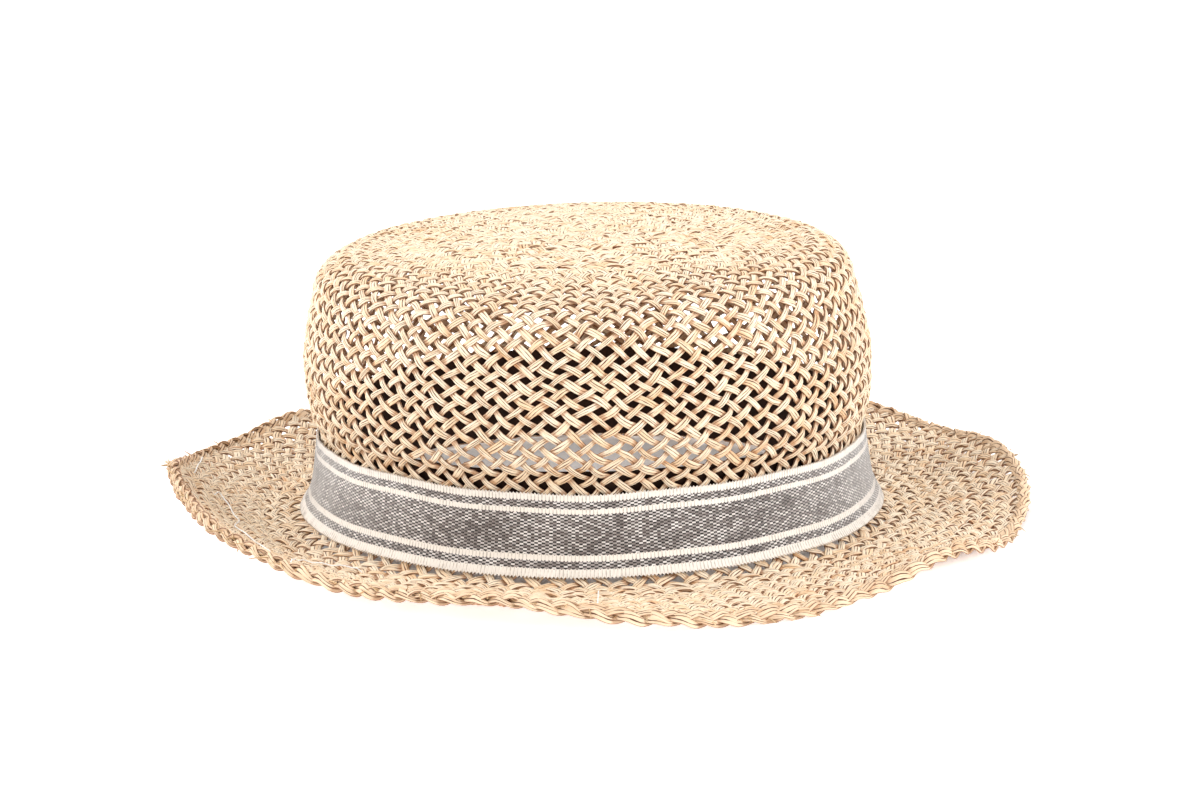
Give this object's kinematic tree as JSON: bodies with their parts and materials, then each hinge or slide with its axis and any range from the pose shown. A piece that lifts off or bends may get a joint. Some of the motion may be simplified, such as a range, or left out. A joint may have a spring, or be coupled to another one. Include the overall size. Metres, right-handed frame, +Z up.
{
  "type": "woven straw hat",
  "caption": "Openwork woven straw hat with a round flat crown, a wavy brim with a plaited edge, a striped ribbon band and an inner sweatband.",
  "frame": {"origin": "on the surface that the hat stands on, under the middle of its outline seen from above", "axes": "+Z up through the crown, +X to the hat's right side as the picture shows it, -Y to the front that the picture shows; lengths in metres"},
  "size_m": [0.283, 0.2938, 0.0916],
  "materials": {
    "straw": "woven seagrass cord, natural, dry",
    "straw_edge": "plaited seagrass cord, natural, dry",
    "ribbon": "ribbed woven ribbon, grey with cream stripes",
    "sweatband": "near-black brown ribbed tape"
  },
  "bodies": {
    "root": {"straw_body": "straw", "edge_plait": "straw_edge", "hat_band": "ribbon", "sweatband": "sweatband"}
  },
  "joints": []
}
